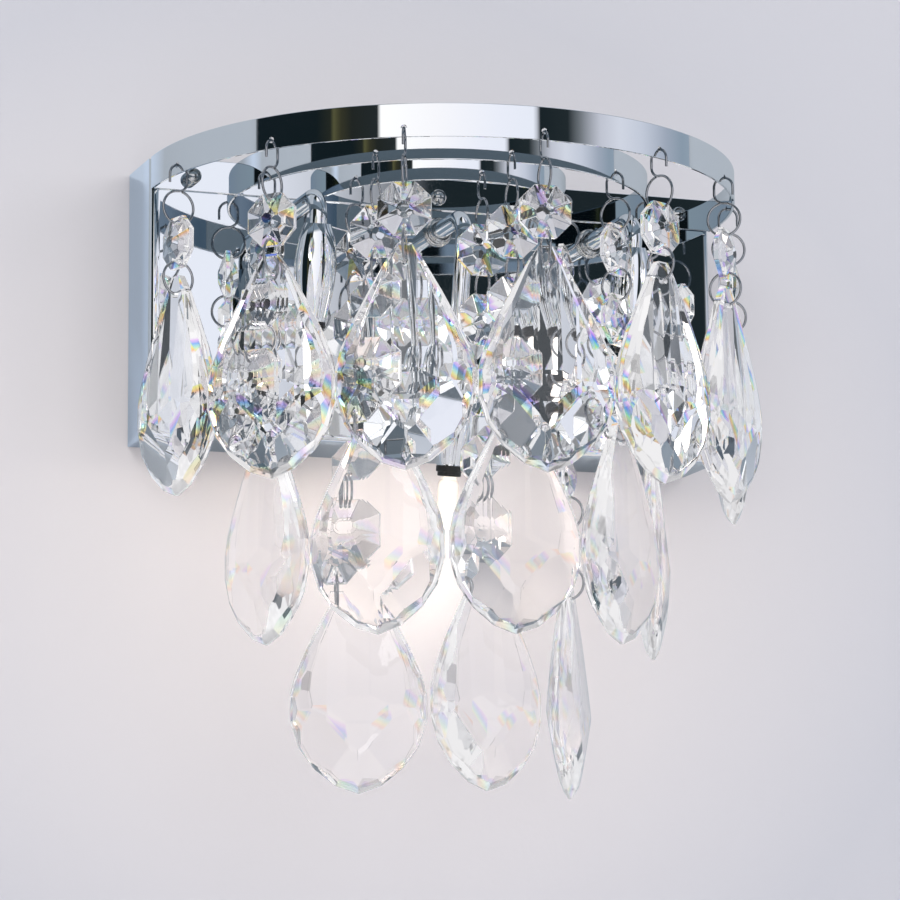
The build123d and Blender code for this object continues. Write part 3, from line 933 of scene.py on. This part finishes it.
# arms, cups, lampholders and lamps
armSizes = {
    "spread": 66.0 * mm,
    "level": 33.5 * mm,
    "panFace": -32.0 * mm,
    "inside": 9.0 * mm,
    "side": (49.0 * mm, 2.0 * mm),      # reach from the pan to the corner, straight neck below the bend
    "centre": (33.0 * mm, 52.0 * mm),
    "radius": 3.5 * mm,
    "bend": 8.0 * mm,
    "bendSteps": 24,
    "lean": 12.0,
}
cupSizes = {
    "outline": [(5.2, 0.0), (6.7, 4.5), (7.8, 10.5), (8.2, 17.0), (7.7, 25.0), (6.6, 31.5), (5.4, 38.0)],
    "bore": 4.3,
    "boreTop": 20.0,
    "lead": 2.5,
    "lip": 0.35,
}
holderSizes = {
    "body": 4.2,
    "bodyLength": 16.0,
    "cup": 38.0,
    "lip": 5.4,
    "lipLength": 4.2,
    "step": (4.7, 1.7),
    "slot": (2.9, 2.1, 5.0),
    "soft": 0.3,                # bevel on the moulding's edges
}
lampSizes = {
    "radius": 4.3,
    "length": 21.0,
    "gap": 1.2,
    "pinch": (5.6, 4.0),
    "seat": 4.9,
    "pinchEdge": 0.8,
    "shoulder": [(0.62, 0.0), (0.86, 0.7), (1.0, 2.2)],     # share of the radius, distance from the neck
}


def armLine(x, reach, neck, sizes):
    lean = math.radians(sizes["lean"])
    down = Vector((0, math.sin(lean), -math.cos(lean)))
    setBack = sizes["bend"] * math.tan(math.radians(90 + sizes["lean"]) / 2)
    start = Vector((x, sizes["panFace"] + sizes["inside"], sizes["level"]))
    corner = Vector((x, sizes["panFace"] - reach, sizes["level"]))
    first, last = corner + Vector((0, setBack, 0)), corner + down * setBack
    centre = first + Vector((0, 0, -sizes["bend"]))
    line = [start, start.lerp(first, 0.5)]
    total = math.radians(90 + sizes["lean"])
    for step in range(sizes["bendSteps"] + 1):
        turn = total * step / sizes["bendSteps"]
        line.append(centre + sizes["bend"] * Vector((0, -math.sin(turn), math.cos(turn))))
    end = last + down * neck
    line.append(end)
    # a frame whose Z runs down the lamp, from the end of the tube
    matrix = Matrix((Vector((1, 0, 0)), down.cross(Vector((1, 0, 0))), down)).transposed().to_4x4()
    matrix.translation = end
    return line, matrix


def makeArms(sizes):
    places, meshes = {}, {}
    for name, x, kind in (("left", -1, "side"), ("centre", 0, "centre"), ("right", 1, "side")):
        line, places[name] = armLine(x * sizes["spread"], *sizes[kind], sizes)
        meshes[name] = tubeMesh(name + "Arm", line, sizes["radius"], 48, "mirrorChrome")
    sideArms = joinMeshes("sideArms", [(meshes["left"], Matrix()), (meshes["right"], Matrix())])
    finishPiece("sideArms", sideArms, "side_lamp_arms")
    finishPiece("centreArm", meshes["centre"], "centre_lamp_arm")
    return places


def onArms(name, mesh, places, node):
    parts = [(mesh, matrix) for matrix in places.values()]
    finishPiece(name, joinMeshes(name, parts), node)


def makeCup(sizes):
    outer = [(p.x, p.y) for p in smoothLine([(r, a, 0) for r, a in sizes["outline"]], 6)]
    mouth, length = outer[-1]
    lip, bore, boreTop, lead = sizes["lip"], sizes["bore"], sizes["boreTop"], sizes["lead"]
    outline = outer[:-1] + [(mouth, length - lip), (mouth - lip * 0.3, length - lip * 0.3), (mouth - lip, length)]
    outline += [(bore, length), (bore, boreTop), (lead, boreTop), (lead, 0.0)]
    return latheMesh("cup", outline, "mirrorChrome", sides=72)


def makeHolder(sizes):
    cup, body, lip, soft = sizes["cup"], sizes["body"], sizes["lip"], sizes["soft"]
    step, stepAt = sizes["step"]
    end = cup + sizes["lipLength"]
    outline = [(0, cup - sizes["bodyLength"]), (body, cup - sizes["bodyLength"]), (body, cup)]
    outline += [(lip - soft, cup), (lip, cup + soft), (lip, end - stepAt - soft), (lip - soft, end - stepAt)]
    outline += [(step, end - stepAt), (step, end - soft), (step - soft, end), (0, end)]
    holder = addObject("holder", latheMesh("holder", outline, "blackPlastic", sides=56))
    width, thick, depth = (size * mm for size in sizes["slot"])
    slot = boxMesh("slot", (-width, -thick, end * mm - depth), (width, thick, (end + 1) * mm))
    return takeMesh(cutWith(holder, [slot]))


def makeLamp(sizes, holder):
    lip = holder["cup"] + holder["lipLength"]
    radius, neck = sizes["radius"], lip + sizes["gap"]
    dome = lip + sizes["length"] - radius
    outline = [(0, neck)] + [(radius * share, neck + along) for share, along in sizes["shoulder"]]
    outline += [(radius * math.cos(math.radians(a)), dome + radius * math.sin(math.radians(a)))
                for a in range(0, 90, 9)]
    bulb = latheMesh("bulb", outline + [(0, dome + radius)], "litGlass", sides=48, degrees=50)
    width, thick = (size / 2 * mm for size in sizes["pinch"])
    low, high = (lip - sizes["seat"]) * mm, (neck + 1.0) * mm
    foot = addObject("foot", boxMesh("foot", (-width, -thick, low), (width, thick, high)))
    roundEdges(foot, sizes["pinchEdge"] * mm, 3)
    return joinMeshes("lamp", [(bulb, Matrix()), (takeMesh(foot), Matrix())])


lampPlaces = makeArms(armSizes)
onArms("cups", makeCup(cupSizes), lampPlaces, "lamp_cups")
onArms("holders", makeHolder(holderSizes), lampPlaces, "lampholders")
onArms("capsules", makeLamp(lampSizes, holderSizes), lampPlaces, "lamps")
print("arms bent, lamps fitted")


# fixings
fixingSizes = {
    # (radius, distance from the pan) of a ringed collar
    "collar": [(3.6, 0), (6.0, 0), (6.0, 1.0), (5.75, 1.4), (5.3, 1.6), (5.3, 1.9), (5.45, 2.3), (5.2, 2.7),
               (4.7, 2.8), (4.7, 3.1), (4.75, 3.5), (4.4, 3.9), (3.9, 4.0), (3.6, 4.0)],
    # (radius, distance from the strip) of a cap nut and of the screw
    "capNut": [(0, 4.75), (0.8, 4.7), (1.6, 4.5), (2.2, 4.2), (2.3, 4.35), (2.35, 4.75), (2.5, 5.0), (2.8, 4.9),
               (3.05, 4.5), (3.1, 4.0), (3.1, 0.8), (2.95, 0.6), (2.95, 0.35), (3.1, 0.2), (3.1, 0), (2.05, 0),
               (2.05, 3.6), (0, 3.6)],
    "screw": [(0, 2.2), (0.7, 2.14), (1.4, 1.94), (2.0, 1.55), (2.35, 1.1), (2.45, 0.8), (2.6, 0.75),
              (2.75, 0.95), (3.0, 1.0), (3.2, 0.85), (3.3, 0.5), (3.3, 0), (2.0, 0), (2.0, -6.9), (0, -6.9)],
    # (across the flats, thickness, bore, bore's sides) of the nuts inside the pan
    "lockNut": (11.0, 3.0, 3.56, 40),
    "innerNut": (7.0, 3.0, 2.06, 32),
    "capNutX": 104.0 * mm,
    "level": 47.7 * mm,
}


def outOfWall(x, y, z):
    # a frame whose Z points out of the wall
    matrix = Matrix(((1, 0, 0), (0, 0, -1), (0, 1, 0))).to_4x4()
    matrix.translation = (x, y, z)
    return matrix


def insidePan(x, z):
    # a frame on the pan's inside whose Z points to the wall
    place = Matrix.Translation((x, panSizes["wall"] - panSizes["depth"], z))
    return place @ Matrix.Rotation(math.radians(-90), 4, "X")


def hexNut(name, flats, thickness, bore, sides):
    foot, top = Vector((0, 0, 0)), Vector((0, 0, thickness * mm))
    nut = addObject(name, barMesh(name, foot, top, flats * mm / math.sqrt(3), 6))
    cutWith(nut, [barMesh("bore", Vector((0, 0, -0.01)), Vector((0, 0, 0.02)), bore * mm, sides)])
    roundEdges(nut, 0.3 * mm)
    nut.data.materials.append(finishes["zincSteel"])
    return takeMesh(nut)


def makeFixings(sizes):
    panFace, stripFace = -panSizes["depth"], -panSizes["depth"] - bandSizes["wall"]
    spread, armLevel, level = armSizes["spread"], armSizes["level"], sizes["level"]
    collar, capNut, screw = (
        latheMesh(name, sizes[name], "fixingChrome", sides=56) for name in ("collar", "capNut", "screw"))
    lockNut, innerNut = (hexNut(name, *sizes[name]) for name in ("lockNut", "innerNut"))
    parts = []
    for x in (-spread, 0.0, spread):
        parts += [(collar, outOfWall(x, panFace, armLevel)), (lockNut, insidePan(x, armLevel))]
    finishPiece("collars", joinMeshes("collars", parts), "arm_fixings")
    parts = [(capNut, outOfWall(x, stripFace, level)) for x in (-sizes["capNutX"], sizes["capNutX"])]
    finishPiece("capNuts", joinMeshes("capNuts", parts), "cap_nuts")
    parts = [(screw, outOfWall(0, stripFace, level)), (innerNut, insidePan(0, level))]
    finishPiece("bandScrew", joinMeshes("bandScrew", parts), "band_screw")


makeFixings(fixingSizes)
for node, finish in (
        ("wall_bracket", "zincSteel"), ("terminal_block", "blockPlastic"), ("lamp_driver", "whitePlastic")):
    mesh = frame["nodes"][node].data
    mesh.materials.clear()
    mesh.materials.append(finishes[finish])
print("fixings set")


# stage: wall, floor, world and lamps of the studio
stageSizes = {
    "wallY": 0.0006,
    "wallHalf": 2.5,
    "floorHalf": 4.0,
    "floorZ": -0.9,
    "opening": (0.1185, 0.0542),        # half sizes of the hole behind the pan
    # soft ellipses on the wall, as a Mapping node's location and scale: the painted pool of lamp light, and the
    # painted lighter reflection beside the pan
    "lampGlow": ((0.10, 0, 0.35), (1 / 0.265, 1, 1 / 0.225)),
    "besidePan": ((0.126 / 0.022, 0, 0), (1 / 0.022, 0, 1 / 0.4)),
    "lampPower": 0.035,
    "lampRadius": 0.006,
    "lampMiddle": (0, 0, 0.070),        # from the end of the arm's tube
}


def mirrorRay(tree, ray):
    # 1 for a mirrored ray, 0 for one that came straight through glass
    notThrough = doMath(tree, "SUBTRACT", 1, ray["Is Transmission Ray"])
    return doMath(tree, "MULTIPLY", notThrough, ray["Is Glossy Ray"])


def laterMirror(tree, ray):
    # 1 for what one polished piece shows in another, which is then made darker: painted shade on the wall, a
    # dimmer room in the world
    later = doMath(tree, "GREATER_THAN", ray["Glossy Depth"], 1.5)
    return doMath(tree, "MULTIPLY", later, mirrorRay(tree, ray))


def softSpot(tree, place, location, scale):
    spot = addNode(tree, "ShaderNodeMapping", {"Vector": place, "Location": location, "Scale": scale})
    fade = addNode(
        tree, "ShaderNodeTexGradient", {"Vector": spot.outputs["Vector"]}, gradient_type="SPHERICAL")
    return fade.outputs["Fac"]


def makeWall(sizes):
    x, z = sizes["opening"]
    far, y, low = sizes["wallHalf"], sizes["wallY"], sizes["floorZ"]
    inner = [(-x, y, -z), (x, y, -z), (x, y, z), (-x, y, z)]
    outer = [(-far, y, low), (far, y, low), (far, y, far), (-far, y, far)]
    faces = [(i, (i + 1) % 4, 4 + (i + 1) % 4, 4 + i) for i in range(4)]
    mesh = meshFrom("wall", inner + outer, faces)
    if mesh.polygons[0].normal.y > 0:
        mesh.flip_normals()
    material, tree, shader = newMaterial("paintedWall", Roughness=0.9, Specular_IOR_Level=0.1)
    place = addNode(tree, "ShaderNodeTexCoord").outputs["Object"]
    ray = addNode(tree, "ShaderNodeLightPath").outputs
    glow, beside = (softSpot(tree, place, *sizes[key]) for key in ("lampGlow", "besidePan"))
    # painted light: a warm pool of lamp light painted into the wall's colour round the lamps
    colour = mixColour(tree, glow, (0.635, 0.637, 0.688), (1.0, 0.93, 0.905))
    # painted reflection: polished metal sees the wall in a painted blue-grey as the unlit part of the room,
    # painted lighter right beside the pan
    unlit = mixColour(tree, beside, (0.43, 0.475, 0.525), (0.66, 0.77, 0.93))
    seen = mixColour(tree, mirrorRay(tree, ray), colour, unlit)
    # painted shade: the wall that one polished piece shows in another is painted dark
    again = mixColour(tree, laterMirror(tree, ray), seen, (0.10, 0.135, 0.165))
    raised = addBump(tree, addNoise(tree, place, 320, 4), 0.12, 0.0004)
    setInputs(tree, shader, {"Base Color": again, "Normal": raised})
    # seen from behind, the wall is clear
    back = addNode(tree, "ShaderNodeNewGeometry").outputs["Backfacing"]
    showShader(tree, mixShader(tree, back, shader, addNode(tree, "ShaderNodeBsdfTransparent")))
    mesh.materials.append(material)
    addObject("wall", mesh)


def makeFloor(sizes):
    far, z = sizes["floorHalf"], sizes["floorZ"]
    mesh = meshFrom("floor", [(-far, -far, z), (far, -far, z), (far, far, z), (-far, far, z)], [(0, 1, 2, 3)])
    material, tree, shader = newMaterial("paleFloor", Base_Color=(0.74, 0.74, 0.76, 1), Roughness=0.8)
    # polished metal sees past the floor into the studio
    seen = mirrorRay(tree, addNode(tree, "ShaderNodeLightPath").outputs)
    showShader(tree, mixShader(tree, seen, shader, addNode(tree, "ShaderNodeBsdfTransparent")))
    mesh.materials.append(material)
    addObject("floor", mesh)


# what polished metal sees round it, in degrees from straight in front of the wall towards the right
studioPattern = [
    (-180, (0.44, 0.48, 0.53)), (-93.5, (0.42, 0.46, 0.51)), (-92.0, (0.006, 0.012, 0.016)),
    (-66, (0.006, 0.012, 0.015)), (-59.5, (0.02, 0.024, 0.018)), (-59.0, (0.10, 0.10, 0.045)),
    (-57.0, (0.04, 0.04, 0.022)), (-52, (0.016, 0.020, 0.018)), (-42.0, (0.018, 0.024, 0.026)),
    (-41.0, (1.08, 1.08, 1.08)), (-20, (1.0, 0.99, 1.02)), (4, (0.88, 0.90, 0.99)),
    (18.0, (0.84, 0.87, 0.96)), (18.8, (0.010, 0.017, 0.021)), (31, (0.016, 0.024, 0.028)),
    (36, (0.16, 0.18, 0.20)), (45, (0.56, 0.58, 0.66)), (54, (0.68, 0.71, 0.80)),
    (65, (0.58, 0.62, 0.72)), (78, (0.36, 0.41, 0.50)), (88, (0.26, 0.33, 0.41)),
    (100, (0.31, 0.38, 0.46)), (140, (0.36, 0.42, 0.49)), (180, (0.40, 0.45, 0.50)),
]


def makeWorld():
    world = bpy.data.worlds.new("studio")
    scene.world = world
    world.use_nodes = True
    tree = world.node_tree
    tree.nodes.clear()
    place = addNode(tree, "ShaderNodeTexCoord").outputs["Generated"]
    split = addNode(tree, "ShaderNodeSeparateXYZ", {0: place}).outputs
    angle = doMath(tree, "ARCTAN2", split["X"], doMath(tree, "MULTIPLY", split["Y"], -1))
    stops = [((degrees + 180) / 360, colour) for degrees, colour in studioPattern]
    around = addRamp(tree, mapRange(tree, angle, -math.pi, math.pi), stops)
    # a slate ring round the ceiling, from 29 to 53 degrees up
    ring = [(0.0, 1.0), (0.70, 1.0), (0.74, 0.0), (0.9, 0.0), (0.94, 1.0), (1.0, 1.0)]
    height = addRamp(tree, mapRange(tree, split["Z"], -1, 1), [(at, (share,) * 3) for at, share in ring])
    pattern = mixColour(tree, height, (0.185, 0.24, 0.30), around)
    ray = addNode(tree, "ShaderNodeLightPath").outputs
    again = mixColour(tree, laterMirror(tree, ray), pattern, (0.20, 0.26, 0.31), "MULTIPLY")
    # metal sees all of the pattern, glass about half of it, and all else a plain pale room
    share = doMath(tree, "MULTIPLY_ADD", ray["Is Transmission Ray"], 0.55, mirrorRay(tree, ray), clamp=True)
    ground = addNode(tree, "ShaderNodeBackground", {"Color": mixColour(tree, share, (0.92, 0.92, 0.93), again)})
    addNode(tree, "ShaderNodeOutputWorld", {"Surface": ground.outputs[0]})


# (place, width, power) of the soft lights, which point at the sconce
studioLights = {
    "keyLight": ((-1.2, -1.6, 1.3), 1.2, 9),
    "fillLight": ((1.4, -1.4, 0.6), 1.4, 5),
}


def addLight(name, kind, position, power, colour=(1, 1, 1)):
    data = bpy.data.lights.new(name, kind)
    data.energy = power
    data.color = colour
    light = addObject(name, data)
    light.location = position
    light.visible_glossy = False
    return light


def addSoftLight(name, position, size, power):
    light = addLight(name, "AREA", position, power)
    light.data.shape = "DISK"
    light.data.size = size
    light.rotation_euler = (-Vector(position)).to_track_quat("-Z", "Y").to_euler()


def addLampGlow(sizes):
    # the warm light that the lit lamps throw on the wall and through the crystals
    for name, matrix in lampPlaces.items():
        middle = matrix @ Vector(sizes["lampMiddle"])
        light = addLight(name + "Glow", "POINT", middle, sizes["lampPower"], (1.0, 0.90, 0.80))
        light.data.shadow_soft_size = sizes["lampRadius"]
        light.visible_transmission = False


makeWall(stageSizes)
makeFloor(stageSizes)
makeWorld()
for name, light in studioLights.items():
    addSoftLight(name, *light)
addLampGlow(stageSizes)
scene.view_settings.view_transform = "Standard"
print("studio lit")
